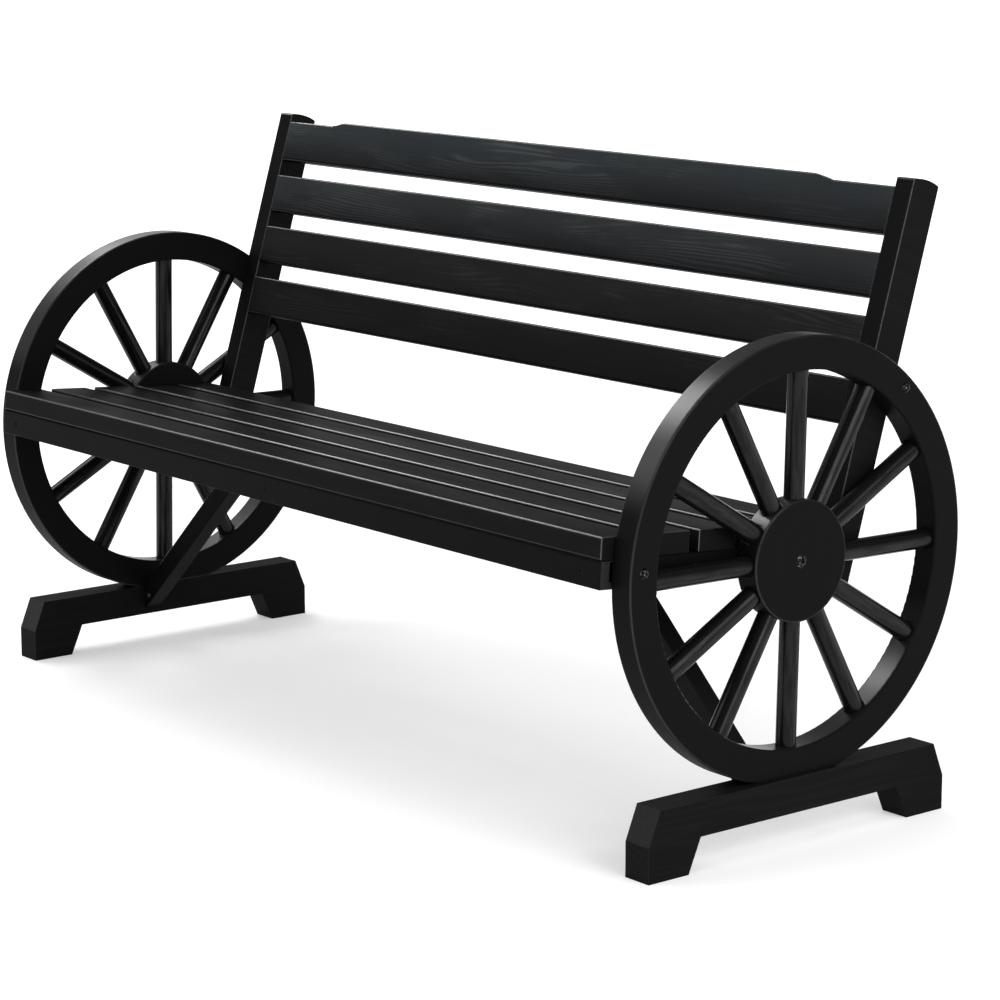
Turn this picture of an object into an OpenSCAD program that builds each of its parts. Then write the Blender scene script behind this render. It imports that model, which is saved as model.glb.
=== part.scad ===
// Wagon wheel bench: a slatted three-seat garden bench in black painted softwood.
// Two fixed spoked wheels stand on foot beams and carry the seat and the back.
// X runs along the bench, -Y is the front, +Z is up, and the floor is at z = 0.
// The origin lies on the floor, midway between the ends and midway from front to rear.

/* [Seat] */
// Length of the seat slats
seat_l = 1372; // [1100:2:1800]
// Fall of the seat towards the back, in degrees
seat_slope = 4; // [0:0.5:7]
// Distance that the seat's front edge stands ahead of the wheel rims
seat_lead = 17.5; // [8:0.5:30]
// Width of the front slat
front_slat_w = 64.5; // [58:0.5:75]
// Width of each other slat
slat_w = 61; // [50:0.5:70]
// Gap between seat slats
slat_gap = 15.5; // [8:0.5:22]
// Thickness of the seat slats
slat_t = 28.5; // [24:0.5:36]
// Rounding of the slats' long edges
slat_round = 3; // [1:0.5:5]
// Rounding of the slats' and the apron's end edges
end_round = 1.5; // [0.5:0.5:3]
// Gap between a slat's end and the wheel
end_gap = 1; // [0.5:0.5:3]
// Height of the apron under the front slat
apron_h = 35.5; // [30:0.5:50]
// Thickness of the apron
apron_t = 14; // [10:0.5:18]
// Rounding of the apron's long edges
apron_round = 1.5; // [0.5:0.5:3]

/* [Bearers and braces] */
// Width of the five bearers under the slats
bearer_w = 61; // [52:1:76]
// Thickness of the bearers
bearer_t = 28.5; // [25:0.5:36]
// Distance that the three inner bearers stop short of the last slat's rear edge
bearer_setback = 6; // [2:1:15]
// Distance from a wheel inwards to the top of its brace
brace_run = 299; // [230:1:340]
// Height of the brace's middle where it meets the foot beam
brace_foot_z = 72; // [66:1:80]
// Distance of the braces ahead of the wheels' middle
brace_lead = 40; // [25:1:60]
// Side of the square braces
brace_t = 28.5; // [22:0.5:34]
// Rounding of the long edges of bearers, braces and posts
edge_round = 2; // [0.5:0.5:4]

/* [Wheels] */
// Outside diameter of the wheels
wheel_d = 560; // [500:2:620]
// Thickness of rim and hub
wheel_t = 34.5; // [29:0.5:38]
// Width of the rim, measured outwards from the middle
rim_w = 43; // [38:0.5:52]
// Diameter of the hub
hub_d = 154; // [140:1:180]
// Diameter of the spokes
spoke_d = 26; // [18:0.5:27]
// Number of spokes in a wheel
spoke_n = 12; // [8:2:12]
// Turn of the spokes from upright, towards the back, in degrees
spoke_turn = 1.2; // [0:0.2:4]
// Depth of the spoke sockets in rim and hub
spoke_seat = 14; // [10:0.5:16]
// Depth of the flat that the rim stands on
wheel_flat = 8; // [5:0.5:10]
// Rounding of the rim's and the hub's edges
wheel_round = 2; // [1:0.5:3.5]

/* [Foot beams] */
// Length of a foot beam
foot_l = 508; // [440:1:560]
// Height of a foot beam
foot_h = 90; // [86:1:105]
// Thickness of a foot beam
foot_t = 42.5; // [38:0.5:60]
// Length of each foot on the floor
foot_pad = 65; // [50:0.5:80]
// Height of the arch between the feet
arch_h = 44.5; // [35:0.5:48]
// Distance over which the arch's ends slope inwards
arch_slant = 19.5; // [10:0.5:30]
// Height at which a beam's ends begin to slope in
shoulder_z = 45.5; // [30:0.5:60]
// Distance that a beam's ends slope in by the top
shoulder_in = 18; // [8:0.5:26]

/* [Back] */
// Lean of the back from upright, in degrees
back_lean = 16.6; // [12:0.2:20]
// Gap between the last seat slat and the back, along the seat
back_gap = 18.5; // [10:0.5:28]
// Thickness of the back posts, along the bench
post_t = 31; // [25:0.5:36]
// Depth of the back posts
post_d = 47; // [42:0.5:56]
// Length of a post below the seat's top
post_tail = 91.5; // [76:0.5:110]
// Height of a post's top above the ends of the top slat
post_head = 15; // [8:0.5:25]
// Radius of the crown on a post's top
post_crown = 80; // [60:1:150]
// Rounding of the crown's two corners
post_corner = 4; // [2:0.5:6]
// Height of the lowest back slat above the seat, along the back
back_rise = 117.5; // [90:0.5:130]
// Width of the three lower back slats
back_slat_w = 58; // [50:0.5:66]
// Width of the top back slat at its ends
top_slat_w = 62; // [55:0.5:75]
// Gap between back slats
back_slat_gap = 23.6; // [15:0.2:30]
// Thickness of the back slats
back_slat_t = 20; // [18:0.5:22]
// Rise of the crest in the top slat's upper edge
crest_rise = 6.3; // [3:0.1:9]
// Distance from a post to the foot of the crest's step
crest_inset = 113; // [60:1:160]
// Length of the crest's step
crest_step = 35; // [25:1:60]

/* [Joints and fasteners] */
// Length of the tenons on the back slats
tenon_l = 12; // [8:0.5:15]
// Thickness of the tenons
tenon_t = 9; // [7:0.5:10]
// Shoulder of the tenons above and below
tenon_shoulder = 10; // [6:0.5:12]
// Clearance round every pin, screw and tenon in its hole
fit_gap = 0.15; // [0.1:0.05:0.3]
// Diameter of the hub bolts
hub_bolt_d = 8; // [6:0.5:8]
// Diameter of the hub bolts' heads
hub_head_d = 17; // [15:0.5:20]
// Diameter of the rim bolts
rim_bolt_d = 6; // [5:0.5:7]
// Diameter of the rim bolts' heads
rim_head_d = 14; // [12:0.5:16]
// Height of the bolts' domed heads
head_h = 3.5; // [2.5:0.5:4.5]
// Diameter of the barrel nuts
nut_d = 10; // [9:0.5:11]
// Length of the barrel nuts
nut_l = 18; // [16:0.5:20]
// Length of the bolts past the middle of their barrel nuts
bolt_past_nut = 9; // [7:0.5:10]
// Height of the front rim bolt above the side bearer's middle
front_bolt_rise = 2.5; // [0:0.5:4]
// Distance of the rear rim bolt from the rim's outer edge
rear_bolt_in = 14.5; // [12:0.5:21]
// Distance of the rear rim bolt behind the post's front face
rear_bolt_back = 33; // [30:0.5:34]
// Diameter of the wood screws
screw_d = 4.5; // [3.5:0.5:5]
// Diameter of the wood screws' heads
screw_head_d = 9; // [8:0.5:10]
// Depth of the seat screws in a slat
seat_screw_bite = 17; // [13:0.5:19]
// Depth of the apron screws in a bearer's end
apron_screw_bite = 18; // [14:1:24]
// Depth of the post screws in a side bearer's end
post_screw_bite = 38; // [28:1:50]
// Depth of the foot screws in the rim
foot_screw_bite = 28; // [20:1:30]
// Distance of the seat screws from a bearer's middle
seat_screw_in = 18; // [14:1:20]
// Distance of the outer apron screws from the slats' ends
apron_screw_in = 36; // [32:0.5:40]
// Distance of the foot screws from the wheel's middle
foot_screw_y = 40; // [32:1:48]

/* [Hidden] */
paint = "#26272a";
steel = "#5a5c60";
left = -1;
right = 1;
slat_n = 5;
back_slat_n = 4;
wheel_fn = 180;
spoke_fn = 36;
hole_fn = 24;
over = 1;

// Wheel
wheel_r = wheel_d / 2;
rim_r = wheel_r - rim_w;
rim_mid_r = wheel_r - rim_w / 2;
hub_r = hub_d / 2;
wheel_x = seat_l / 2 + end_gap;
wheel_z = foot_h - wheel_flat + wheel_r;
spoke_mid_x = wheel_t / 2;

// Seat, measured along its slope from its front edge, v, and square to it, n
hub_v = wheel_r + seat_lead;
bearer_n = -slat_t - bearer_t;
bearer_mid_n = -slat_t - bearer_t / 2;
apron_mid_n = -slat_t - apron_h / 2;
slat_pitch = slat_w + slat_gap;
seat_depth = front_slat_w + (slat_n - 1) * slat_pitch;
front_reach = hub_v * cos(seat_slope) + (apron_h - bearer_t / 2) * sin(seat_slope);
wheel_y = (front_reach - wheel_r) / 2;
seat_y = wheel_y - hub_v * cos(seat_slope) - bearer_mid_n * sin(seat_slope);
seat_z = wheel_z + hub_v * sin(seat_slope) - bearer_mid_n * cos(seat_slope);

// Back, measured up its lean from the seat's top, s, and back from its front face, d
back_v = seat_depth + back_gap;
back_y = seat_y + back_v * cos(seat_slope);
back_z = seat_z - back_v * sin(seat_slope);
back_to_seat = back_lean - seat_slope;
back_slat_pitch = back_slat_w + back_slat_gap;
top_slat_s = back_rise + (back_slat_n - 1) * back_slat_pitch;
top_slat_end_s = top_slat_s + top_slat_w;
post_top_s = top_slat_end_s + post_head;
post_in_x = wheel_x - post_t;

// Bearers and braces
side_bearer_x = wheel_x - bearer_w / 2;
brace_bearer_x = wheel_x - brace_run;
bearer_xs = [-side_bearer_x, -brace_bearer_x, 0, brace_bearer_x, side_bearer_x];
brace_y = wheel_y - brace_lead;
brace_top_z = seat_height(brace_y) + bearer_n / cos(seat_slope);
brace_angle = atan((brace_top_z - brace_foot_z) / brace_run);
brace_half_z = brace_t / 2 / cos(brace_angle);

// Bolts and screws
front_bolt_v = hub_v - rim_mid_r;
rear_bolt_r = wheel_r - rear_bolt_in;
rear_bolt_s = up_back_to_radius(rear_bolt_back, rear_bolt_r);
bearer_bolt_l = wheel_t + bearer_w / 2 + bolt_past_nut;
post_bolt_l = wheel_t + post_t / 2 + bolt_past_nut;
hex_share = 0.55;
hex_floor_share = 0.3;
screw_lip = 0.6;
screw_set = 0.2;
recess_share = 0.55;
recess_w = 1.1;
recess_depth = 1.5;
seat_screw_l = bearer_t + seat_screw_bite;
apron_screw_l = apron_t + apron_screw_bite;
apron_screw_xs = [apron_screw_in - seat_l / 2, 0, seat_l / 2 - apron_screw_in];
post_screw_l = post_d + post_screw_bite;
post_screw_s = bearer_mid_n / cos(back_to_seat);
post_screw_in = 7;
foot_screw_l = foot_h - arch_h + foot_screw_bite;
brace_toe_l = 42;
brace_toe_in = 11;
brace_toe_rise = 4;
brace_top_out = 6;
brace_top_skin = 7;
brace_sunk = screw_head_d * tan(brace_angle);
brace_top_depth = brace_top_out * tan(brace_angle) + brace_half_z - brace_sunk / 2;
brace_top_screw_l = brace_top_depth + bearer_t - brace_top_skin;

// Height of the seat's top face at a distance y from the origin
function seat_height(y) = seat_z - (y - seat_y) * tan(seat_slope);

// Distance up the back at which a line d behind its face is at radius r from the wheel's middle
function up_back_to_radius(d, r) =
    let (y = back_y - wheel_y + d * cos(back_lean), z = back_z - wheel_z - d * sin(back_lean))
    let (along = y * sin(back_lean) + z * cos(back_lean))
    -along + sqrt(along * along - y * y - z * z + r * r);

// Points of an arc about [x, y]
function arc(x, y, r, from, to, steps) =
    [for (i = [0:steps]) let (a = from + (to - from) * i / steps) [x + r * cos(a), y + r * sin(a)]];

// Distance of a seat slat's front and middle from the seat's front edge
function slat_v(i) = i == 0 ? 0 : front_slat_w + slat_gap + (i - 1) * slat_pitch;
function slat_width(i) = i == 0 ? front_slat_w : slat_w;
function slat_mid_v(i) = slat_v(i) + slat_width(i) / 2;

// Seat screws stand beside a bearer's middle, on the side nearer the bench's middle
function seat_screw_x(x) = x > 0 ? x - seat_screw_in : x + seat_screw_in;

module painted() {
    color(paint) children();
}

module bare_steel() {
    color(steel) children();
}

// The left side is the right side mirrored
module on_side(side) {
    if (side == left) mirror([1, 0, 0]) children();
    else children();
}

module at_seat() {
    translate([0, seat_y, seat_z]) rotate([-seat_slope, 0, 0]) children();
}

module at_back() {
    translate([0, back_y, back_z]) rotate([-back_lean, 0, 0]) children();
}

// A wheel's own frame: its middle, on its inner face, with +X outwards
module at_wheel() {
    translate([wheel_x, wheel_y, wheel_z]) children();
}

// Stretches an outline drawn in Y and Z along X
module along_x(l) {
    rotate([90, 0, 90]) linear_extrude(l) children();
}

// Stretches an outline drawn in X and Z along Y
module along_y(l) {
    translate([0, l, 0]) rotate([90, 0, 0]) linear_extrude(l) children();
}

// Rectangle from the origin with rounded corners
module eased_rectangle(w, h, r) {
    translate([r, 0]) square([w - 2 * r, h]);
    translate([0, r]) square([w, h - 2 * r]);
    for (x = [r, w - r], y = [r, h - r]) translate([x, y]) circle(r, $fn = hole_fn);
}

// Board along X, centred, with its front edge at y = 0 and its top at z = 0
module board(l, w, t, r) {
    translate([-l / 2, 0, -t]) along_x(l) eased_rectangle(w, t, r);
}

// Board whose end edges are eased too
module eased_board(l, w, t, r) {
    intersection() {
        board(l, w, t, r);
        translate([-l / 2, 0, -t]) linear_extrude(t) eased_rectangle(l, w, end_round);
        translate([-l / 2, 0, -t]) along_y(w) eased_rectangle(l, t, end_round);
    }
}

// Countersunk screw that points along +Z from a head flush with z = 0
module screw_form(l, d, head) {
    neck = (head - d) / 2 + screw_lip;
    rotate_extrude($fn = hole_fn) polygon([[0, 0], [head / 2, 0], [head / 2, screw_lip], [d / 2, neck],
        [d / 2, l - d], [0, l]]);
}

module wood_screw(l) {
    recess = screw_head_d * recess_share;
    difference() {
        translate([0, 0, screw_set]) screw_form(l, screw_d, screw_head_d);
        for (a = [0, 90]) rotate([0, 0, a]) cube([recess, recess_w, 2 * recess_depth], center = true);
    }
}

// Hole for a wood screw whose head lies sunk below the surface
module screw_hole(l, sunk = 0) {
    head = screw_head_d + 2 * fit_gap;
    screw_form(l + over, screw_d + 2 * fit_gap, head);
    translate([0, 0, -sunk - over]) cylinder(h = sunk + over + screw_lip / 2, d = head, $fn = hole_fn);
}

// Bolt along X with a domed head that stands on x = 0 and a shank towards -X
module bolt(l, d, head) {
    dome_r = (head * head / 4 + head_h * head_h) / (2 * head_h);
    rotate([0, 90, 0]) {
        difference() {
            rotate_extrude($fn = hole_fn) intersection() {
                translate([0, head_h - dome_r]) circle(dome_r, $fn = wheel_fn);
                square([head / 2, head_h]);
            }
            translate([0, 0, head_h * hex_floor_share]) cylinder(h = head_h, d = d * hex_share, $fn = 6);
        }
        translate([0, 0, -l]) cylinder(h = l, d = d, $fn = hole_fn);
    }
}

module bolt_hole(l, d) {
    rotate([0, 90, 0]) translate([0, 0, -l - over])
        cylinder(h = l + 2 * over, d = d + 2 * fit_gap, $fn = hole_fn);
}

// Barrel nut along Z, centred on its cross bore, which runs along X
module barrel_nut(bolt_size) {
    difference() {
        cylinder(h = nut_l, d = nut_d, center = true, $fn = hole_fn);
        rotate([0, 90, 0])
            cylinder(h = nut_d + 2 * over, d = bolt_size + 2 * fit_gap, center = true, $fn = hole_fn);
    }
}

// Places of the three bolts of a wheel, on its outer face
module at_hub_bolt() {
    translate([wheel_x + wheel_t, wheel_y, wheel_z]) children();
}

module at_front_bolt() {
    at_seat() translate([wheel_x + wheel_t, front_bolt_v, bearer_mid_n + front_bolt_rise]) children();
}

module at_rear_bolt() {
    at_back() translate([wheel_x + wheel_t, rear_bolt_back, rear_bolt_s]) children();
}

module at_seat_screw(x, i) {
    at_seat() translate([seat_screw_x(x), slat_mid_v(i), bearer_n]) children();
}

module at_apron_screw(x) {
    at_seat() translate([x, 0, apron_mid_n]) rotate([-90, 0, 0]) children();
}

module at_post_screws() {
    for (x = [-post_screw_in, post_screw_in])
        at_back() translate([wheel_x - post_t / 2 + x, post_d, post_screw_s]) rotate([90, 0, 0]) children();
}

module at_foot_screws() {
    for (y = [-foot_screw_y, foot_screw_y])
        translate([wheel_x + wheel_t / 2, wheel_y + y, arch_h]) children();
}

// The lower screw is driven slantwise from the brace's front face into the foot beam
module at_brace_toe_screw() {
    translate([wheel_x - brace_toe_in, brace_y - brace_t / 2, brace_foot_z + brace_toe_rise])
        rotate([-90, 0, -45]) translate([0, 0, screw_head_d / 2]) children();
}

// The upper screw is driven straight up through the brace into its bearer
module at_brace_top_screw() {
    translate([brace_bearer_x + brace_top_out, brace_y, brace_top_z - brace_top_depth]) children();
}

module foot_beam() {
    half = foot_l / 2;
    arch_end = half - foot_pad;
    difference() {
        translate([wheel_x, wheel_y, 0]) along_x(foot_t) polygon([
            [-half, 0], [-half, shoulder_z], [-half + shoulder_in, foot_h], [half - shoulder_in, foot_h],
            [half, shoulder_z], [half, 0], [arch_end, 0], [arch_end - arch_slant, arch_h],
            [arch_slant - arch_end, arch_h], [-arch_end, 0]]);
        at_foot_screws() screw_hole(foot_screw_l);
        at_brace_toe_screw() screw_hole(brace_toe_l, screw_head_d);
    }
}

// Rods along every spoke's line, from one distance out of the wheel's middle to another
module spoke_rods(from, to, d) {
    for (i = [0:spoke_n - 1]) rotate([i * 360 / spoke_n - spoke_turn, 0, 0])
        translate([spoke_mid_x, 0, from]) cylinder(h = to - from, d = d, $fn = spoke_fn);
}

module spoke_sockets(from, to) {
    spoke_rods(from, to, spoke_d + 2 * fit_gap);
}

module rim() {
    difference() {
        at_wheel() difference() {
            rotate([0, 90, 0]) rotate_extrude($fn = wheel_fn) translate([rim_r, 0])
                eased_rectangle(rim_w, wheel_t, wheel_round);
            translate([-over, -wheel_r, -wheel_r - over])
                cube([wheel_t + 2 * over, wheel_d, wheel_flat + over]);
            spoke_sockets(rim_r - over, rim_r + spoke_seat);
        }
        at_front_bolt() bolt_hole(bearer_bolt_l, rim_bolt_d);
        at_rear_bolt() bolt_hole(post_bolt_l, rim_bolt_d);
        at_foot_screws() screw_hole(foot_screw_l);
    }
}

module hub() {
    difference() {
        at_wheel() difference() {
            rotate([0, 90, 0]) rotate_extrude($fn = wheel_fn) intersection() {
                translate([-hub_r, 0]) eased_rectangle(hub_d, wheel_t, wheel_round);
                square([hub_r, wheel_t]);
            }
            spoke_sockets(hub_r - spoke_seat, hub_r + over);
        }
        at_hub_bolt() bolt_hole(bearer_bolt_l, hub_bolt_d);
    }
}

module spokes() {
    at_wheel() spoke_rods(hub_r - spoke_seat + fit_gap, rim_r + spoke_seat - fit_gap, spoke_d);
}

module seat_slat(i) {
    difference() {
        at_seat() translate([0, slat_v(i), 0]) eased_board(seat_l, slat_width(i), slat_t, slat_round);
        for (x = bearer_xs) at_seat_screw(x, i) screw_hole(seat_screw_l);
    }
}

module front_apron() {
    difference() {
        at_seat() translate([0, 0, -slat_t]) eased_board(seat_l, apron_t, apron_h, apron_round);
        for (x = apron_screw_xs) at_apron_screw(x) screw_hole(apron_screw_l);
    }
}

// Bearer at x with eased long edges, from the apron back to v
module bearer_bar(x, v) {
    translate([x - bearer_w / 2, apron_t, bearer_n]) along_y(v - apron_t)
        eased_rectangle(bearer_w, bearer_t, edge_round);
}

// Outline of a side bearer, which ends against the leaning back post
module side_bearer_outline() {
    lean_in = tan(back_to_seat);
    polygon([[apron_t, -slat_t], [apron_t, bearer_n], [back_v + bearer_n * lean_in, bearer_n],
        [back_v - slat_t * lean_in, -slat_t]]);
}

module inner_bearer(x) {
    difference() {
        at_seat() bearer_bar(x, seat_depth - bearer_setback);
        for (i = [0:slat_n - 1]) at_seat_screw(x, i) screw_hole(seat_screw_l);
        if (x == 0) at_apron_screw(0) screw_hole(apron_screw_l);
        if (x != 0) on_side(sign(x)) at_brace_top_screw() screw_hole(brace_top_screw_l, brace_sunk);
    }
}

// Hole for a barrel nut, open downwards, with the nut's cross bore at the origin
module nut_hole(depth) {
    translate([0, 0, -depth])
        cylinder(h = depth + nut_l / 2 + fit_gap, d = nut_d + 2 * fit_gap, $fn = hole_fn);
}

module side_bearer() {
    nut_in = -wheel_t - bearer_w / 2;
    difference() {
        at_seat() intersection() {
            bearer_bar(side_bearer_x, back_v);
            translate([wheel_x - bearer_w, 0, 0]) along_x(bearer_w) side_bearer_outline();
        }
        for (i = [0:slat_n - 1]) at_seat_screw(side_bearer_x, i) screw_hole(seat_screw_l);
        at_apron_screw(seat_l / 2 - apron_screw_in) screw_hole(apron_screw_l);
        at_post_screws() screw_hole(post_screw_l);
        at_hub_bolt() bolt_hole(bearer_bolt_l, hub_bolt_d);
        at_front_bolt() bolt_hole(bearer_bolt_l, rim_bolt_d);
        at_hub_bolt() rotate([-seat_slope, 0, 0]) translate([nut_in, 0, 0]) nut_hole(bearer_t);
        at_front_bolt() translate([nut_in, 0, 0]) nut_hole(bearer_t);
    }
}

module brace() {
    long = brace_run * 3;
    difference() {
        translate([wheel_x, brace_y, brace_foot_z]) rotate([0, brace_angle, 0])
            translate([-long / 2, -brace_t / 2, -brace_t / 2]) along_x(long)
                eased_rectangle(brace_t, brace_t, edge_round);
        translate([wheel_x, brace_y - brace_t, -long]) cube([long, 2 * brace_t, 3 * long]);
        at_seat() translate([-long, 0, bearer_n]) cube([3 * long, seat_depth, long]);
        at_brace_toe_screw() screw_hole(brace_toe_l, screw_head_d);
        at_brace_top_screw() screw_hole(brace_top_screw_l, brace_sunk);
    }
}

// Outline of a post in its own frame: depth across, height up, with a crowned top
module post_outline() {
    crown_y = post_top_s - post_crown;
    reach = post_crown - post_corner;
    corner_x = post_d / 2 - post_corner;
    crown_a = asin(corner_x / reach);
    corner_y = crown_y + reach * cos(crown_a);
    polygon(concat([[0, -post_tail], [post_d, -post_tail]],
        arc(post_d - post_corner, corner_y, post_corner, 0, 90 - crown_a, 5),
        arc(post_d / 2, crown_y, post_crown, 90 - crown_a, 90 + crown_a, 12),
        arc(post_corner, corner_y, post_corner, 90 + crown_a, 180, 5)));
}

function back_slat_s(i) = top_slat_s - i * back_slat_pitch;
function back_slat_width(i) = i == 0 ? top_slat_w : back_slat_w;

// Tenons of one back slat, or their mortises when grown by a clearance
module tenons(i, grow) {
    l = 2 * (post_in_x + tenon_l + grow);
    h = back_slat_width(i) - 2 * tenon_shoulder + 2 * grow;
    translate([-l / 2, (back_slat_t - tenon_t) / 2 - grow, back_slat_s(i) + tenon_shoulder - grow])
        cube([l, tenon_t + 2 * grow, h]);
}

module back_post() {
    difference() {
        at_back() translate([post_in_x, 0, 0]) intersection() {
            along_x(post_t) post_outline();
            translate([0, 0, -post_tail]) linear_extrude(post_tail + post_top_s)
                eased_rectangle(post_t, post_d, edge_round);
        }
        at_back() for (i = [0:back_slat_n - 1]) tenons(i, fit_gap);
        at_post_screws() screw_hole(post_screw_l);
        at_rear_bolt() bolt_hole(post_bolt_l, rim_bolt_d);
        at_rear_bolt() translate([-wheel_t - post_t / 2, 0, 0]) rotate([90, 0, 0]) nut_hole(post_d);
    }
}

// Upper edge of the top slat: level, then a smooth step up to the crest
module crest_outline() {
    foot_x = post_in_x - crest_inset;
    steps = 8;
    rise = [for (i = [0:steps])
        [foot_x - crest_step * i / steps, crest_rise * (1 - cos(180 * i / steps)) / 2]];
    fall = [for (i = [steps:-1:0]) [-rise[i][0], rise[i][1]]];
    translate([0, top_slat_w]) polygon(concat([[-foot_x, -top_slat_w], [foot_x, -top_slat_w]], rise, fall));
}

module back_slat(i) {
    at_back() {
        translate([0, 0, back_slat_s(i) + back_slat_width(i)])
            board(2 * post_in_x, back_slat_t, back_slat_width(i), slat_round);
        tenons(i, 0);
        if (i == 0) intersection() {
            translate([0, 0, top_slat_end_s + crest_rise])
                board(2 * post_in_x, back_slat_t, top_slat_w + crest_rise, slat_round);
            translate([0, back_slat_t, top_slat_s]) rotate([90, 0, 0]) linear_extrude(back_slat_t)
                crest_outline();
        }
    }
}

module hub_bolts() {
    for (side = [left, right]) on_side(side) at_hub_bolt() bolt(bearer_bolt_l, hub_bolt_d, hub_head_d);
}

module rim_bolts() {
    for (side = [left, right]) on_side(side) {
        at_front_bolt() bolt(bearer_bolt_l, rim_bolt_d, rim_head_d);
        at_rear_bolt() bolt(post_bolt_l, rim_bolt_d, rim_head_d);
    }
}

module barrel_nuts() {
    in_bearer = -wheel_t - bearer_w / 2;
    in_post = -wheel_t - post_t / 2;
    for (side = [left, right]) on_side(side) {
        at_hub_bolt() rotate([-seat_slope, 0, 0]) translate([in_bearer, 0, 0]) barrel_nut(hub_bolt_d);
        at_front_bolt() translate([in_bearer, 0, 0]) barrel_nut(rim_bolt_d);
        at_rear_bolt() translate([in_post, 0, 0]) rotate([90, 0, 0]) barrel_nut(rim_bolt_d);
    }
}

module seat_screws() {
    for (x = bearer_xs, i = [0:slat_n - 1]) at_seat_screw(x, i) wood_screw(seat_screw_l);
}

module apron_screws() {
    for (x = apron_screw_xs) at_apron_screw(x) wood_screw(apron_screw_l);
}

module post_screws() {
    for (side = [left, right]) on_side(side) at_post_screws() wood_screw(post_screw_l);
}

module brace_screws() {
    for (side = [left, right]) on_side(side) {
        at_brace_toe_screw() wood_screw(brace_toe_l);
        at_brace_top_screw() wood_screw(brace_top_screw_l);
    }
}

module foot_screws() {
    for (side = [left, right]) on_side(side) at_foot_screws() wood_screw(foot_screw_l);
}

painted() on_side(left) foot_beam();  // left_foot_beam
painted() on_side(right) foot_beam();  // right_foot_beam
painted() on_side(left) rim();  // left_rim
painted() on_side(right) rim();  // right_rim
painted() on_side(left) spokes();  // left_spokes
painted() on_side(right) spokes();  // right_spokes
painted() on_side(left) hub();  // left_hub
painted() on_side(right) hub();  // right_hub
painted() seat_slat(0);  // seat_slat_1
painted() seat_slat(1);  // seat_slat_2
painted() seat_slat(2);  // seat_slat_3
painted() seat_slat(3);  // seat_slat_4
painted() seat_slat(4);  // seat_slat_5
painted() front_apron();
painted() on_side(left) side_bearer();  // left_side_bearer
painted() inner_bearer(-brace_bearer_x);  // left_brace_bearer
painted() inner_bearer(0);  // middle_bearer
painted() inner_bearer(brace_bearer_x);  // right_brace_bearer
painted() on_side(right) side_bearer();  // right_side_bearer
painted() on_side(left) brace();  // left_brace
painted() on_side(right) brace();  // right_brace
painted() on_side(left) back_post();  // left_back_post
painted() on_side(right) back_post();  // right_back_post
painted() back_slat(0);  // back_slat_1
painted() back_slat(1);  // back_slat_2
painted() back_slat(2);  // back_slat_3
painted() back_slat(3);  // back_slat_4
bare_steel() hub_bolts();
bare_steel() rim_bolts();
bare_steel() barrel_nuts();
bare_steel() seat_screws();
bare_steel() apron_screws();
bare_steel() post_screws();
bare_steel() brace_screws();
bare_steel() foot_screws();
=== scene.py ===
import math
import bpy
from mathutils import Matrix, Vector


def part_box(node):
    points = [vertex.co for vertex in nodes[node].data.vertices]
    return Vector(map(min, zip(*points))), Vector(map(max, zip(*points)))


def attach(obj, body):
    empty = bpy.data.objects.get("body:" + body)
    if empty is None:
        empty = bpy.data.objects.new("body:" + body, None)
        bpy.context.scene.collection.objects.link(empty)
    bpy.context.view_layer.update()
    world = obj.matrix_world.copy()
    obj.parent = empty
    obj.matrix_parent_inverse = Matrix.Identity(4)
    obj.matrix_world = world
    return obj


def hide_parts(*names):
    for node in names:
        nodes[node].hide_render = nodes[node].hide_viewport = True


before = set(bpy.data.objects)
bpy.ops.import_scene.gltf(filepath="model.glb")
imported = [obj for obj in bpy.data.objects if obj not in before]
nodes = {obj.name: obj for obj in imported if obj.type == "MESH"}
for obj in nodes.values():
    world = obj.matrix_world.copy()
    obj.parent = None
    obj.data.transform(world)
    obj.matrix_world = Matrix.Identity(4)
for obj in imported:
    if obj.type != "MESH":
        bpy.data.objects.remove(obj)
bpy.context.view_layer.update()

print("frame loaded with", len(nodes), "nodes")

# Each piece that has its own grain direction takes its angles from here, in degrees
benchPose = {
    "seatSlope": 4.0,
    "backLean": 16.6,
    "braceAngle": 43.0,
}


def linearFromHex(text):
    parts = [int(text[i:i + 2], 16) / 255 for i in (1, 3, 5)]
    return tuple(c / 12.92 if c <= 0.04045 else ((c + 0.055) / 1.055) ** 2.4 for c in parts) + (1.0,)


# Adds a node, sets its own settings, its sockets' values and its links
def addNode(tree, kind, settings=None, values=None, links=None):
    node = tree.nodes.new(kind)
    for key, value in (settings or {}).items():
        setattr(node, key, value)
    for key, value in (values or {}).items():
        node.inputs[key].default_value = value
    for key, source in (links or {}).items():
        tree.links.new(source, node.inputs[key])
    return node


def mathNode(tree, operation, first, second=None):
    node = addNode(tree, "ShaderNodeMath", {"operation": operation})
    for index, item in enumerate((first, second)):
        if item is None:
            continue
        if isinstance(item, (int, float)):
            node.inputs[index].default_value = item
        else:
            tree.links.new(item, node.inputs[index])
    return node.outputs[0]


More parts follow.
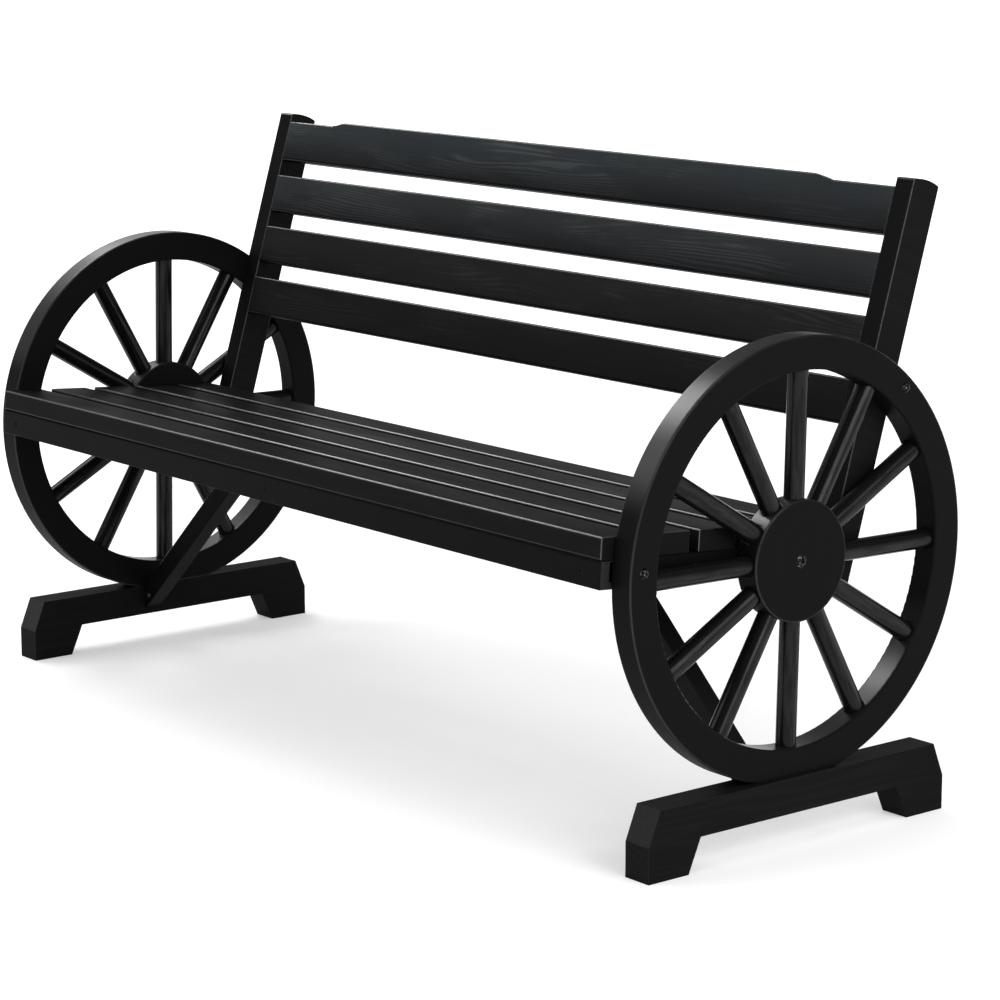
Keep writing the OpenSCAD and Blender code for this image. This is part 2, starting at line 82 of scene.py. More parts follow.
# Softwood under a thin brushed coat of black satin paint: the faces read as nearly plain and matt,
# the rubbed arrises and turned rods are polished, the upper arrises carry a painted highlight, and raised late wood
# shows only in raking light.
paint = {
    "colour": "#0f0f0f",
    "paleColour": "#181819",     # where the brush left the coat thin
    "rubbedAndHighlightColour": "#4a4a4b",   # arrises rubbed down to the grey undercoat, and a painted highlight on the upper ones
    "roughness": 0.40,
    "roughnessSpread": 0.06,
    "rubbedRoughness": 0.24,
    "faceGloss": 0.02,           # the matt coat's specular level
    "rubbedGloss": 0.60,
    "ior": 1.5,
    "ringWidth": 7.5,            # late wood lines, mm
    "ringLength": 520.0,         # how far a line runs before it wanders, mm
    "ringWander": 30.0,          # mm
    "fibreWidth": 1.4,           # mm, coarser than real fibre so that it shows
    "fibreLength": 90.0,
    "ringHeight": 0.014,         # mm
    "ringSlant": 0.35,           # how far the lines shift with depth, per mm
    "ringSharpness": 2.5,        # above 1, late wood is narrower than early wood
    "wanderAcross": 55.0,        # mm, how far apart two lines can wander their own ways
    "ringTone": 0.45,            # how much late wood shows in the coat's tone
    "patchFrom": 0.0,            # late wood shows only in patches above this, and fully above the next
    "patchTo": 0.5,
    "fibreHeight": 0.012,
    "coatSize": (30.0, 9.0, 9.0),        # brush marks, mm along, across and through the board
    "coatHeight": 0.02,
    "patchSize": (260.0, 60.0, 60.0),    # thick and thin areas of the coat, mm
    "rubAndHighlightFrom": -0.35,         # an arris is rubbed and takes its painted highlight where it faces up more than this
    "rubAndHighlightTo": 0.10,
    "faceShare": 0.985,          # a surface this square to an axis is a flat face
    "arrisTop": 0.85,            # and one less square than this is halfway round an arris
    "arrisShare": 1.0,           # how much of the rub and painted highlight a wheel's outer arris takes
    "rubAndHighlightLeast": 0.2,             # rub and painted highlight where the coat is thickest, 1.2 where it is thinnest
    "endColour": "#0f0f0f",      # sawn ends drink the paint and dry plain
    "endSpeckle": 0.0,           # share of the grit that shows on a sawn end
    "gritSize": 1.3,             # mm
    "seamColour": "#010101",     # a joint's shadow
    "edgeRadius": 0.0012,        # m
    "width": 0.0,                # mm, of a board that is crowned, has painted shade or has a seam
    "crown": 0.0,                # mm, how far a board's middle stands above its edges
    "seam": 0.0,                 # share of half the width that stays dark at the upper edge, or below 0 at the lower
    "paintedShade": 0.0,                 # painted shade: how far the tone darkens towards a back board's lower edge
    "paintedShadeColour": "#0c0c0d",
}


def smoothStep(tree, value, low, high):
    ramp = addNode(tree, "ShaderNodeMapRange", {"interpolation_type": "SMOOTHSTEP"},
                   {"From Min": low, "From Max": high}, {"Value": value})
    return ramp.outputs[0]


# Coordinates in millimetres: x along the grain, y across it, z through the board
def boardGrain(tree, turn):
    place = addNode(tree, "ShaderNodeTexCoord")
    turned = addNode(tree, "ShaderNodeVectorRotate", {"rotation_type": "EULER_XYZ"},
                     {"Rotation": [math.radians(a) for a in turn]}, {"Vector": place.outputs["Object"]})
    scaled = addNode(tree, "ShaderNodeVectorMath", {"operation": "SCALE"}, {"Scale": 1000.0},
                     {"Vector": turned.outputs[0]})
    return scaled.outputs[0]


# Turns a direction into the board's own axes, as boardGrain does for a place
def boardFacing(tree, direction, turn):
    turned = addNode(tree, "ShaderNodeVectorRotate", {"rotation_type": "EULER_XYZ"},
                     {"Rotation": [math.radians(a) for a in turn]}, {"Vector": direction})
    return turned.outputs[0]


# Grain that runs round a rim, with its seam down on the foot beam
def rimGrain(tree, centre):
    place = addNode(tree, "ShaderNodeTexCoord")
    offset = addNode(tree, "ShaderNodeVectorMath", {"operation": "SUBTRACT"}, {1: centre},
                     {0: place.outputs["Object"]})
    scaled = addNode(tree, "ShaderNodeVectorMath", {"operation": "SCALE"}, {"Scale": 1000.0},
                     {"Vector": offset.outputs[0]})
    part = addNode(tree, "ShaderNodeSeparateXYZ", links={0: scaled.outputs[0]})
    radius = mathNode(tree, "SQRT", mathNode(tree, "ADD",
                      mathNode(tree, "MULTIPLY", part.outputs["Y"], part.outputs["Y"]),
                      mathNode(tree, "MULTIPLY", part.outputs["Z"], part.outputs["Z"])))
    angle = mathNode(tree, "ARCTAN2", part.outputs["Y"], part.outputs["Z"])
    joined = addNode(tree, "ShaderNodeCombineXYZ", links={
        "X": mathNode(tree, "MULTIPLY", angle, wheelLook["middleRadius"]), "Y": radius, "Z": part.outputs["X"]})
    return joined.outputs[0]


# Grain that runs along each spoke
def spokeGrain(tree, centre):
    place = addNode(tree, "ShaderNodeTexCoord")
    offset = addNode(tree, "ShaderNodeVectorMath", {"operation": "SUBTRACT"}, {1: centre},
                     {0: place.outputs["Object"]})
    scaled = addNode(tree, "ShaderNodeVectorMath", {"operation": "SCALE"}, {"Scale": 1000.0},
                     {"Vector": offset.outputs[0]})
    part = addNode(tree, "ShaderNodeSeparateXYZ", links={0: scaled.outputs[0]})
    step, turn = 2 * math.pi / wheelLook["spokes"], math.radians(wheelLook["spokeTurn"])
    angle = mathNode(tree, "ADD", mathNode(tree, "ARCTAN2", part.outputs["Z"], part.outputs["Y"]), turn)
    count = mathNode(tree, "ROUND", mathNode(tree, "DIVIDE", angle, step))
    middle = mathNode(tree, "SUBTRACT", mathNode(tree, "MULTIPLY", count, step), turn)
    cosine, sine = mathNode(tree, "COSINE", middle), mathNode(tree, "SINE", middle)
    out = mathNode(tree, "ADD", mathNode(tree, "MULTIPLY", part.outputs["Y"], cosine),
                   mathNode(tree, "MULTIPLY", part.outputs["Z"], sine))
    side = mathNode(tree, "SUBTRACT", mathNode(tree, "MULTIPLY", part.outputs["Z"], cosine),
                    mathNode(tree, "MULTIPLY", part.outputs["Y"], sine))
    shift = mathNode(tree, "MULTIPLY", count, wheelLook["spokeShift"])
    joined = addNode(tree, "ShaderNodeCombineXYZ", links={
        "X": mathNode(tree, "ADD", out, shift), "Y": mathNode(tree, "ADD", side, shift), "Z": part.outputs["X"]})
    return joined.outputs[0]


# Only what faces up is rubbed, polished and paled: the pale colour there is a painted highlight
def upwardShare(tree, normal, looks):
    parts = addNode(tree, "ShaderNodeSeparateXYZ", links={0: normal})
    return smoothStep(tree, parts.outputs["Z"], looks["rubAndHighlightFrom"], looks["rubAndHighlightTo"])


# How far a surface is an arris between two flat faces: nothing on a face, 1 halfway round the arris
def boardArris(tree, normal, turn, looks):
    local = addNode(tree, "ShaderNodeSeparateXYZ", links={0: boardFacing(tree, normal, turn)})
    sizes = [mathNode(tree, "ABSOLUTE", local.outputs[axis]) for axis in ("X", "Y", "Z")]
    largest = mathNode(tree, "MAXIMUM", mathNode(tree, "MAXIMUM", sizes[0], sizes[1]), sizes[2])
    return mathNode(tree, "MULTIPLY", smoothStep(tree, largest, looks["faceShare"], looks["arrisTop"]),
                    upwardShare(tree, normal, looks))


# A board's sawn ends: 1 there and nothing on its long faces
def boardEnd(tree, normal, turn):
    local = addNode(tree, "ShaderNodeSeparateXYZ", links={0: boardFacing(tree, normal, turn)})
    return smoothStep(tree, mathNode(tree, "ABSOLUTE", local.outputs["X"]), 0.80, 0.95)


# The same for a rim or hub: its outer arris, and what faces up of its two round surfaces
def wheelArris(tree, normal, centre, looks):
    local = addNode(tree, "ShaderNodeSeparateXYZ", links={0: normal})
    sideways = mathNode(tree, "ABSOLUTE", local.outputs["X"])
    arris = smoothStep(tree, sideways, 0.20, 0.45)
    place = addNode(tree, "ShaderNodeTexCoord")
    outwards = addNode(tree, "ShaderNodeVectorMath", {"operation": "SUBTRACT"}, {1: centre},
                       {0: place.outputs["Object"]})
    facing = addNode(tree, "ShaderNodeVectorMath", {"operation": "DOT_PRODUCT"}, {},
                     {0: outwards.outputs[0], 1: normal})
    outer = smoothStep(tree, facing.outputs["Value"], 0.02, 0.05)
    rubbedAndHighlit = mathNode(tree, "MULTIPLY", mathNode(tree, "MULTIPLY", arris, outer), looks["arrisShare"])
    smooth = mathNode(tree, "MULTIPLY", upwardShare(tree, normal, looks),
                      mathNode(tree, "MAXIMUM", outer, mathNode(tree, "SUBTRACT", 1.0, arris)))
    return mathNode(tree, "MULTIPLY", smoothStep(tree, sideways, looks["faceShare"], looks["arrisTop"]),
                    mathNode(tree, "MAXIMUM", rubbedAndHighlit, smooth))


def stretchedNoise(tree, grain, size, detail, roughness):
    scaled = addNode(tree, "ShaderNodeVectorMath", {"operation": "DIVIDE"}, {1: size}, {0: grain})
    noise = addNode(tree, "ShaderNodeTexNoise", {"noise_dimensions": "3D"},
                    {"Scale": 1.0, "Detail": detail, "Roughness": roughness}, {"Vector": scaled.outputs[0]})
    return noise.outputs["Fac"]


def paintedWood(name, makeGrain, shift, makeArris=None, look=None, makeEnd=None):
    looks = dict(paint, **(look or {}))
    material = bpy.data.materials.new("black_satin_paint_on_softwood_" + name)
    material.use_nodes = True
    tree = material.node_tree
    tree.nodes.clear()
    moved = addNode(tree, "ShaderNodeVectorMath", {"operation": "ADD"}, {1: shift}, {0: makeGrain(tree)})
    grain = moved.outputs[0]
    split = addNode(tree, "ShaderNodeSeparateXYZ", links={0: grain})

    # Growth rings: bands across the board that wander slowly along it
    wander = stretchedNoise(tree, grain, (looks["ringLength"], looks["wanderAcross"], looks["wanderAcross"]), 2.0, 0.5)
    drift = mathNode(tree, "MULTIPLY", mathNode(tree, "SUBTRACT", wander, 0.5), 2 * looks["ringWander"])
    across = mathNode(tree, "ADD", mathNode(tree, "ADD", split.outputs["Y"], drift),
                      mathNode(tree, "MULTIPLY", split.outputs["Z"], looks["ringSlant"]))
    wave = mathNode(tree, "SINE", mathNode(tree, "MULTIPLY", across, 2 * math.pi / looks["ringWidth"]))
    ring = mathNode(tree, "POWER", mathNode(tree, "ADD", mathNode(tree, "MULTIPLY", wave, 0.5), 0.5),
                    looks["ringSharpness"])

    fibre = stretchedNoise(tree, grain, (looks["fibreLength"], looks["fibreWidth"], looks["fibreWidth"]), 3.0, 0.6)
    coat = stretchedNoise(tree, grain, looks["coatSize"], 3.0, 0.55)
    patch = stretchedNoise(tree, grain, looks["patchSize"], 3.0, 0.6)

    edge = addNode(tree, "ShaderNodeBevel", {"samples": 4}, {"Radius": looks["edgeRadius"]})
    if makeEnd is not None:
        end = makeEnd(tree, edge.outputs[0])
        along = mathNode(tree, "SUBTRACT", 1.0, end)
        ring, fibre = mathNode(tree, "MULTIPLY", ring, along), mathNode(tree, "MULTIPLY", fibre, along)

    # Height in millimetres, made into metres for the bump
    height = mathNode(tree, "ADD", mathNode(tree, "MULTIPLY", mathNode(tree, "MULTIPLY", ring, patch),
                                            2 * looks["ringHeight"]),
                      mathNode(tree, "ADD", mathNode(tree, "MULTIPLY", fibre, looks["fibreHeight"]),
                               mathNode(tree, "MULTIPLY", coat, looks["coatHeight"])))
    if looks["width"]:
        # From -1 at the board's upper edge to 1 at its lower edge
        share = mathNode(tree, "DIVIDE", mathNode(tree, "SUBTRACT", split.outputs["Y"], looks["middle"] + shift[1]),
                         looks["width"] / 2)
        height = mathNode(tree, "SUBTRACT", height, mathNode(tree, "MULTIPLY", mathNode(tree, "MULTIPLY", share, share),
                                                             looks["crown"]))
    bump = addNode(tree, "ShaderNodeBump", {}, {"Strength": 1.0, "Distance": 0.001},
                   {"Height": height, "Normal": edge.outputs[0]})

    tone = addNode(tree, "ShaderNodeMix", {"data_type": "RGBA"},
                   {"A": linearFromHex(looks["colour"]), "B": linearFromHex(looks["paleColour"])},
                   {"Factor": mathNode(tree, "MULTIPLY", patch, mathNode(
                       tree, "ADD", mathNode(tree, "MULTIPLY", mathNode(tree, "MULTIPLY", ring, looks["ringTone"]),
                                             smoothStep(tree, patch, looks["patchFrom"], looks["patchTo"])), fibre))})
    # Painted shade: the tone darkens towards the board's lower edge
    if looks["paintedShade"]:
        tone = addNode(tree, "ShaderNodeMix", {"data_type": "RGBA"}, {"B": linearFromHex(looks["paintedShadeColour"])}, {
            "A": tone.outputs["Result"],
            "Factor": mathNode(tree, "MULTIPLY", smoothStep(tree, share, -0.9, 1.3), looks["paintedShade"])})
    if looks["seam"]:
        inset, dark = mathNode(tree, "MULTIPLY", share, math.copysign(1, looks["seam"])), abs(looks["seam"])
        tone = addNode(tree, "ShaderNodeMix", {"data_type": "RGBA"}, {"B": linearFromHex(looks["seamColour"])}, {
            "A": tone.outputs["Result"],
            "Factor": smoothStep(tree, inset, dark * 1.3 - 1, dark * 0.8 - 1)})
    if looks["endSpeckle"]:
        grit = smoothStep(tree, stretchedNoise(tree, grain, (looks["gritSize"],) * 3, 3.0, 0.7), 0.40, 0.62)
        tone = addNode(tree, "ShaderNodeMix", {"data_type": "RGBA"}, {"B": linearFromHex(looks["endColour"])}, {
            "A": tone.outputs["Result"],
            "Factor": mathNode(tree, "MULTIPLY", end, mathNode(tree, "MULTIPLY", grit, looks["endSpeckle"]))})
    rough = addNode(tree, "ShaderNodeMapRange", {}, {
        "From Min": 0.3, "From Max": 0.7, "To Min": looks["roughness"] - looks["roughnessSpread"],
        "To Max": looks["roughness"] + looks["roughnessSpread"]}, {"Value": patch})
    shader = addNode(tree, "ShaderNodeBsdfPrincipled", {}, {
        "IOR": looks["ior"], "Metallic": 0.0}, {"Normal": bump.outputs[0]})
    if makeArris is None:
        # Runs and thin places in the coat: the sheen breaks up into streaks along the rod
        size = (looks["runLength"], looks["runWidth"], looks["runWidth"])
        runs = smoothStep(tree, stretchedNoise(tree, grain, size, 2.0, 0.5), 0.40, 0.62)
        gloss = addNode(tree, "ShaderNodeMapRange", {}, {
            "To Min": looks["faceGloss"], "To Max": looks["faceGloss"] * looks["runGloss"]}, {"Value": runs})
        tree.links.new(gloss.outputs[0], shader.inputs["Specular IOR Level"])
        tree.links.new(tone.outputs["Result"], shader.inputs["Base Color"])
        tree.links.new(rough.outputs[0], shader.inputs["Roughness"])
    else:
        arris = makeArris(tree, edge.outputs[0], looks)
        # The arris colour: partly rubbed wear, partly a painted highlight
        wearAndGleam = mathNode(tree, "MULTIPLY", arris, mathNode(tree, "ADD", coat, looks["rubAndHighlightLeast"]))
        rubbedAndHighlit = addNode(tree, "ShaderNodeMix", {"data_type": "RGBA"}, {"B": linearFromHex(looks["rubbedAndHighlightColour"])},
                         {"Factor": wearAndGleam, "A": tone.outputs["Result"]})
        smoother = addNode(tree, "ShaderNodeMix", {"data_type": "FLOAT"}, {"B": looks["rubbedRoughness"]},
                           {"Factor": arris, "A": rough.outputs[0]})
        glossier = addNode(tree, "ShaderNodeMapRange", {},
                           {"To Min": looks["faceGloss"], "To Max": looks["rubbedGloss"]}, {"Value": arris})
        tree.links.new(rubbedAndHighlit.outputs["Result"], shader.inputs["Base Color"])
        tree.links.new(smoother.outputs["Result"], shader.inputs["Roughness"])
        tree.links.new(glossier.outputs[0], shader.inputs["Specular IOR Level"])
    addNode(tree, "ShaderNodeOutputMaterial", links={"Surface": shader.outputs[0]})
    return material


# Black zinc plated steel: dark and slightly glossy, with small scuffs on the domes
steel = {
    "colour": "#0a0a0b",
    "brightColour": "#626265",    # bare metal where the wrench scraped the plating
    "metallic": 0.9,
    "roughness": 0.26,
    "scuffRoughness": 0.15,
    "scuffSize": 0.0030,          # m
    "scuffDepth": 0.0002,
    "scuffFrom": 0.54,            # of the noise, where a scuff begins and where it is bare
    "scuffTo": 0.68,
}


def platedSteel():
    material = bpy.data.materials.new("black_zinc_plated_steel")
    material.use_nodes = True
    tree = material.node_tree
    tree.nodes.clear()
    place = addNode(tree, "ShaderNodeTexCoord")
    scuffs = addNode(tree, "ShaderNodeTexNoise", {}, {"Scale": 1 / steel["scuffSize"], "Detail": 3.0},
                     {"Vector": place.outputs["Object"]})
    wearAndGleam = addNode(tree, "ShaderNodeMapRange", {}, {"From Min": steel["scuffFrom"], "From Max": steel["scuffTo"]},
                   {"Value": scuffs.outputs["Fac"]})
    colour = addNode(tree, "ShaderNodeMix", {"data_type": "RGBA"},
                     {"A": linearFromHex(steel["colour"]), "B": linearFromHex(steel["brightColour"])},
                     {"Factor": wearAndGleam.outputs[0]})
    rough = addNode(tree, "ShaderNodeMapRange", {}, {"To Min": steel["roughness"],
                                                         "To Max": steel["roughness"] + steel["scuffRoughness"]},
                    {"Value": scuffs.outputs["Fac"]})
    bump = addNode(tree, "ShaderNodeBump", {}, {"Strength": 0.3, "Distance": steel["scuffDepth"]},
                   {"Height": scuffs.outputs["Fac"]})
    shader = addNode(tree, "ShaderNodeBsdfPrincipled", {}, {"Metallic": steel["metallic"]}, {
        "Base Color": colour.outputs["Result"], "Roughness": rough.outputs[0], "Normal": bump.outputs[0]})
    addNode(tree, "ShaderNodeOutputMaterial", links={"Surface": shader.outputs[0]})
    return material


# Screws sunk in the apron, painted over with the bench: only the slot's shadow shows
screwPaint = {
    "markScale": 900.0,       # brush marks to the metre
    "markRoughness": 0.15,
    "markDepth": 0.0002,      # m
}


def overpaintedSteel():
    material = bpy.data.materials.new("black_paint_over_steel_screws")
    material.use_nodes = True
    tree = material.node_tree
    tree.nodes.clear()
    place = addNode(tree, "ShaderNodeTexCoord")
    brushed = addNode(tree, "ShaderNodeTexNoise", {}, {"Scale": screwPaint["markScale"], "Detail": 2.0},
                      {"Vector": place.outputs["Object"]})
    colour = addNode(tree, "ShaderNodeMix", {"data_type": "RGBA"},
                     {"A": linearFromHex(paint["colour"]), "B": linearFromHex(paint["paleColour"])},
                     {"Factor": brushed.outputs["Fac"]})
    rough = addNode(tree, "ShaderNodeMapRange", {}, {"To Min": paint["roughness"],
                                                         "To Max": paint["roughness"] + screwPaint["markRoughness"]},
                    {"Value": brushed.outputs["Fac"]})
    bump = addNode(tree, "ShaderNodeBump", {}, {"Strength": 0.4, "Distance": screwPaint["markDepth"]},
                   {"Height": brushed.outputs["Fac"]})
    shader = addNode(tree, "ShaderNodeBsdfPrincipled", {}, {
        "IOR": paint["ior"], "Specular IOR Level": paint["faceGloss"]}, {
        "Base Color": colour.outputs["Result"], "Roughness": rough.outputs[0], "Normal": bump.outputs[0]})
    addNode(tree, "ShaderNodeOutputMaterial", links={"Surface": shader.outputs[0]})
    return material


def dress(nodeName, material):
    piece = nodes[nodeName]
    piece.data.materials.clear()
    piece.data.materials.append(material)


def wheelCentre(side):
    low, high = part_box(side + "_hub")
    return tuple((low[i] + high[i]) / 2 for i in range(3))


def dressBoard(nodeName, turn, shift, look=None):
    dress(nodeName, paintedWood(nodeName, lambda tree: boardGrain(tree, turn), shift,
                                lambda tree, normal, looks: boardArris(tree, normal, turn, looks), look,
                                lambda tree, normal: boardEnd(tree, normal, turn)))


# Where a board's middle stands and how wide it is, in the turned axes of boardGrain
def boardSpan(nodeName, turn):
    a = math.radians(turn)
    corners = nodes[nodeName].data.vertices
    places = [(corner.co.y * math.cos(a) - corner.co.z * math.sin(a)) * 1000 for corner in corners]
    return {"middle": (min(places) + max(places)) / 2, "width": max(places) - min(places)}


slope, lean, rise = benchPose["seatSlope"], benchPose["backLean"], benchPose["braceAngle"]
# Back boards: slightly crowned, so each one shades from its top edge to its bottom edge, with painted shade added the
# same way
backBoard = {"crown": 2.0, "ringHeight": 0.02, "ringWidth": 5.0, "ringTone": 1.5, "patchFrom": 0.46,
             "patchTo": 0.62, "seam": -0.12}
# Colour, pale colour and painted shade of each, the top one first: the two upper ones are painted lighter and greyer as
# a painted sheen, the lower two darker as painted shade
backLooks = [("#25282a", "#3d4143", 0.8), ("#222425", "#3a3d3f", 0.75), ("#19191a", "#272727", 0.3),
             ("#141414", "#1f1f1f", 0.2)]
# Boards under the seat: an even, unrubbed coat, painted darker as painted shade under the seat
shadedBoard = {"rubbedGloss": 0.03, "colour": "#0a0a0a", "paleColour": "#0f0f10", "rubbedAndHighlightColour": "#0f0f10"}
seatBoard = {"colour": "#131314", "paleColour": "#1b1b1c", "faceGloss": 0.017, "roughness": 0.48, "rubbedGloss": 0.9,
             "coatHeight": 0.03}
postBoard = {"rubbedGloss": 0.12}
# Foot beams: matter than the rest, since feet and grass scour them; the lighter grit colour of their front ends also
# paints light onto those shaded faces
footBoard = {"colour": "#131313", "paleColour": "#1e1e1f", "faceGloss": 0.008, "rubbedGloss": 0.2,
             "rubbedAndHighlightColour": "#303031", "endColour": "#2a2a2a", "endSpeckle": 0.6}
# One paint in a shaded and a lit copy: the left brace is painted darker for the wheel's shade, the right one lighter
braceBoards = {
    "left": {"colour": "#0c0c0c", "paleColour": "#111111", "rubbedGloss": 0.05, "rubbedAndHighlightColour": "#111111"},
    "right": {"colour": "#1a1a1a", "paleColour": "#222223", "rubbedGloss": 0.05, "rubbedAndHighlightColour": "#222223"},
}
# The front board's lower arris is rubbed too, and its pale colour paints a lighter band along it
frontBoard = dict(seatBoard, rubAndHighlightFrom=-0.9, rubAndHighlightTo=0.2, rubbedGloss=0.7, rubbedRoughness=0.28, edgeRadius=0.0018)
# The apron's end was sprayed thin over sawn wood
apronBoard = {"ringHeight": 0.006, "fibreHeight": 0.005, "paleColour": "#121213", "rubbedGloss": 0.03,
              "rubbedAndHighlightColour": "#0d0d0d", "endColour": "#3a3a3b", "endSpeckle": 1.0, "seam": 0.14}
for index in range(5):
    dressBoard(f"seat_slat_{index + 1}", (slope, 0, 0), (311.0 * index, 47.0 * index, 19.0 * index),
               frontBoard if index == 0 else seatBoard)
for index in range(4):
    nodeName = f"back_slat_{index + 1}"
    dressBoard(nodeName, (lean + 90, 0, 0), (277.0 * index + 90, 71.0 * index, 23.0 * index),
               dict(backBoard, colour=backLooks[index][0], paleColour=backLooks[index][1], paintedShade=backLooks[index][2],
                    **boardSpan(nodeName, lean + 90)))
dressBoard("front_apron", (slope + 90, 0, 0), (505.0, 12.0, 33.0),
           dict(apronBoard, **boardSpan("front_apron", slope + 90)))
dressBoard("middle_bearer", (slope, 0, -90), (3.0, 26.0, 88.0), shadedBoard)
print("boards dressed")

# Rims, hubs and spokes: lathe-turned and sanded, so their round faces took a glossier coat
wheelLook = {
    "middleRadius": 258.5,   # mm
    "spokes": 12,
    "spokeTurn": 1.2,        # degrees, how far the first spoke stands off level
    "spokeShift": 173.0,     # mm, so that no two spokes share a grain
    # The rim's upper round surfaces and outer arris are glossier; their slightly paler colour is a painted sheen
    "rim": {"rubbedGloss": 0.80, "rubbedRoughness": 0.32, "rubbedAndHighlightColour": "#131314", "ringHeight": 0.0,
            "fibreHeight": 0.0, "colour": "#101011", "paleColour": "#121213", "rubAndHighlightFrom": 0.30, "rubAndHighlightTo": 0.68,
            "arrisShare": 0.5, "edgeRadius": 0.004},
    # The last three: a glossier run's length and width in mm, and how much glossier it is
    "spoke": {"colour": "#0a0a0a", "paleColour": "#101010", "faceGloss": 0.12, "roughness": 0.22,
              "roughnessSpread": 0.05, "fibreHeight": 0.002, "ringHeight": 0.004, "coatHeight": 0.006,
              "runLength": 40.0, "runWidth": 5.0, "runGloss": 1.6},
}
for side in ("left", "right"):
    centre = wheelCentre(side)
    turnSide = 1 if side == "right" else -1
    polish = lambda tree, normal, looks: wheelArris(tree, normal, centre, looks)
    dress(f"{side}_rim", paintedWood(f"{side}_rim", lambda tree: rimGrain(tree, centre), (0.0, 31.0, 7.0),
                                     polish, wheelLook["rim"]))
    dress(f"{side}_hub", paintedWood(f"{side}_hub", lambda tree: boardGrain(tree, (90, 0, 90)), (21.0, 9.0, 50.0),
                                     polish, wheelLook["rim"]))
    dress(f"{side}_spokes", paintedWood(f"{side}_spokes", lambda tree: spokeGrain(tree, centre), (40.0, 13.0, 3.0),
                                        None, wheelLook["spoke"]))
    dressBoard(f"{side}_foot_beam", (0, 0, -90), (61.0, 25.0, 14.0), footBoard)
    dressBoard(f"{side}_brace", (0, turnSide * rise, 0), (81.0, 5.0, 9.0), braceBoards[side])
    dressBoard(f"{side}_back_post", (lean, 0, 90), (5.0, 37.0, 29.0), postBoard)
    dressBoard(f"{side}_side_bearer", (slope, 0, -90), (33.0, 61.0, 2.0), shadedBoard)
    dressBoard(f"{side}_brace_bearer", (slope, 0, -90), (93.0, 16.0, 8.0), shadedBoard)
print("wheels and frame dressed")

fastenerFinish = platedSteel()
for nodeName in ("hub_bolts", "rim_bolts", "barrel_nuts", "seat_screws", "post_screws", "brace_screws", "foot_screws"):
    dress(nodeName, fastenerFinish)
dress("apron_screws", overpaintedSteel())
print("fasteners dressed")

# The apron in full thickness: its rear face and its ends reach the wheels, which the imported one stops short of
apronForm = {
    "thicker": 0.0075,    # m, added behind
    "longer": 0.001,      # m, added at each end
}


def makeApron():
    packed = nodes["front_apron"]
    mesh = packed.data.copy()
    turn = math.radians(slope)
    back = Vector((0.0, math.cos(turn), -math.sin(turn)))
    depths = [corner.co.dot(back) for corner in mesh.vertices]
    middle, reach = (min(depths) + max(depths)) / 2, max(abs(corner.co.x) for corner in mesh.vertices)
    for corner, depth in zip(mesh.vertices, depths):
        if depth > middle:
            corner.co += back * apronForm["thicker"]
        if abs(corner.co.x) > reach - 0.01:
            corner.co.x += math.copysign(apronForm["longer"], corner.co.x)
    board = bpy.data.objects.new("full_apron", mesh)
    bpy.context.scene.collection.objects.link(board)
    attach(board, "root")
    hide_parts("front_apron")


makeApron()
print("apron made")

# Pale seamless floor under a white horizon; the room above is dim, as in a studio with one lit corner
studio = {
    "floorSize": 60.0,
    "floorColour": "#e6e6e6",
    "floorGlow": 0.30,
    "farGlow": 0.45,          # far from the bench the paper bleaches out
    "farFrom": 1.3,
    "farTo": 4.0,
    "ambient": 0.80,
    "horizonTop": 0.16,       # sine of the height at which the white begins to fade
    "roomFrom": 0.34,
    "room": 0.15,
    "aimHeight": 0.45,        # m, where the lamps point
}
# Each lamp: direction round the bench, height angle, distance, width and height in metres, brightness
softboxes = {
    "front_softbox": (336, 30, 3.0, 1.6, 1.2, 3.0),
    "left_high_softbox": (277, 45, 2.8, 1.0, 1.2, 6.6),
    "rear_left_softbox": (255, 32, 2.8, 0.7, 0.7, 4.5),
    "right_softbox": (90, 20, 3.5, 2.0, 2.0, 4.5),
}


def seenShare(tree):
    path = addNode(tree, "ShaderNodeLightPath")
    shown = mathNode(tree, "MAXIMUM", path.outputs["Is Camera Ray"], path.outputs["Is Glossy Ray"])
    return mathNode(tree, "MAXIMUM", shown, path.outputs["Is Transmission Ray"])


def makeFloor():
    half = studio["floorSize"] / 2
    mesh = bpy.data.meshes.new("studio_floor")
    mesh.from_pydata([(-half, -half, 0), (half, -half, 0), (half, half, 0), (-half, half, 0)], [], [(0, 1, 2, 3)])
    floor = bpy.data.objects.new("studio_floor", mesh)
    bpy.context.scene.collection.objects.link(floor)
    material = bpy.data.materials.new("matt_white_studio_paper")
    material.use_nodes = True
    tree = material.node_tree
    tree.nodes.clear()
    matt = addNode(tree, "ShaderNodeBsdfDiffuse", {}, {"Color": linearFromHex(studio["floorColour"])})
    place = addNode(tree, "ShaderNodeTexCoord")
    away = addNode(tree, "ShaderNodeVectorMath", {"operation": "LENGTH"}, links={0: place.outputs["Object"]})
    far = addNode(tree, "ShaderNodeMapRange", {"interpolation_type": "SMOOTHSTEP"}, {
        "From Min": studio["farFrom"], "From Max": studio["farTo"], "To Min": studio["floorGlow"],
        "To Max": studio["floorGlow"] + studio["farGlow"]}, {"Value": away.outputs["Value"]})
    glow = addNode(tree, "ShaderNodeEmission", {}, {"Color": (1, 1, 1, 1)},
                   {"Strength": mathNode(tree, "MULTIPLY", seenShare(tree), far.outputs[0])})
    both = addNode(tree, "ShaderNodeAddShader", links={0: matt.outputs[0], 1: glow.outputs[0]})
    addNode(tree, "ShaderNodeOutputMaterial", links={"Surface": both.outputs[0]})
    floor.data.materials.append(material)


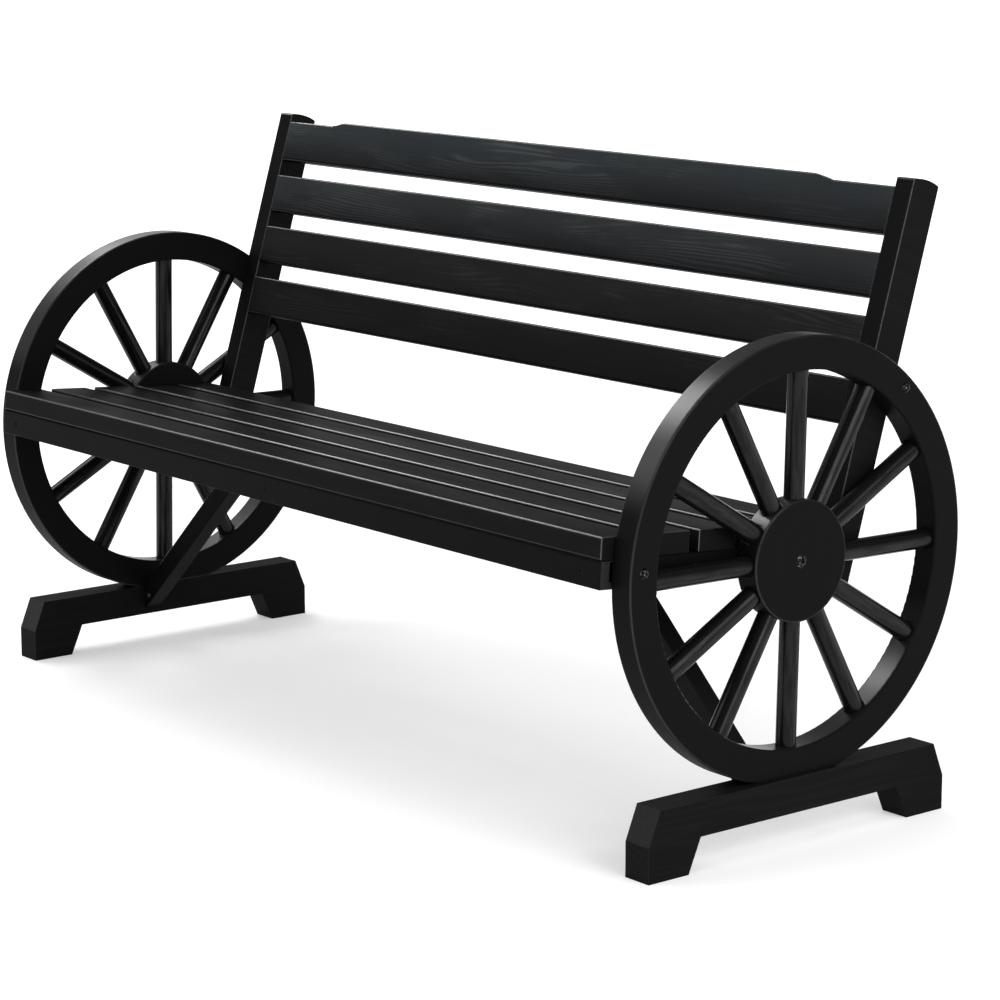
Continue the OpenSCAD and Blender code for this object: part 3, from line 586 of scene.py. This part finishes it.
def makeSoftbox(name, azimuth, height, distance, width, tall, brightness):
    turn, lift = math.radians(azimuth), math.radians(height)
    target = Vector((0.0, 0.0, studio["aimHeight"]))
    away = Vector((math.sin(turn) * math.cos(lift), -math.cos(turn) * math.cos(lift), math.sin(lift)))
    place = target + distance * away
    data = bpy.data.lights.new(name, "AREA")
    data.shape = "RECTANGLE"
    data.size, data.size_y = width, tall
    data.energy = brightness * math.pi * width * tall
    light = bpy.data.objects.new(name, data)
    light.location = place
    light.rotation_euler = (target - place).to_track_quat("-Z", "Y").to_euler()
    bpy.context.scene.collection.objects.link(light)


def makeWorld():
    world = bpy.data.worlds.new("white_studio")
    world.use_nodes = True
    tree = world.node_tree
    tree.nodes.clear()
    place = addNode(tree, "ShaderNodeTexCoord")
    upward = addNode(tree, "ShaderNodeSeparateXYZ", links={0: place.outputs["Generated"]})
    backdrop = addNode(tree, "ShaderNodeMapRange", {"interpolation_type": "SMOOTHSTEP"}, {
        "From Min": studio["horizonTop"], "From Max": studio["roomFrom"], "To Min": 1.0, "To Max": studio["room"]},
        {"Value": upward.outputs["Z"]})
    strength = addNode(tree, "ShaderNodeMix", {"data_type": "FLOAT"}, {"A": studio["ambient"]},
                       {"Factor": seenShare(tree), "B": backdrop.outputs[0]})
    light = addNode(tree, "ShaderNodeBackground", {}, {"Color": (1, 1, 1, 1)}, {"Strength": strength.outputs["Result"]})
    addNode(tree, "ShaderNodeOutputWorld", links={"Surface": light.outputs[0]})
    bpy.context.scene.world = world


makeFloor()
makeWorld()
for lampName, lamp in softboxes.items():
    makeSoftbox(lampName, *lamp)
print("studio made")

# The photograph's viewpoint, fitted to the bench's own edges
viewpoint = {
    "place": (3.4741, -2.6976, 1.2059),
    "pitch": 78.71,
    "turn": 50.99,
    "lens": 115.24,
}
cameraData = bpy.data.cameras.new("photo_camera")
cameraData.sensor_width = 36.0
cameraData.lens = viewpoint["lens"]
camera = bpy.data.objects.new("photo_camera", cameraData)
camera.location = viewpoint["place"]
camera.rotation_euler = (math.radians(viewpoint["pitch"]), 0.0, math.radians(viewpoint["turn"]))
bpy.context.scene.collection.objects.link(camera)
bpy.context.scene.camera = camera
bpy.context.scene.view_settings.view_transform = "Standard"
print("camera placed")
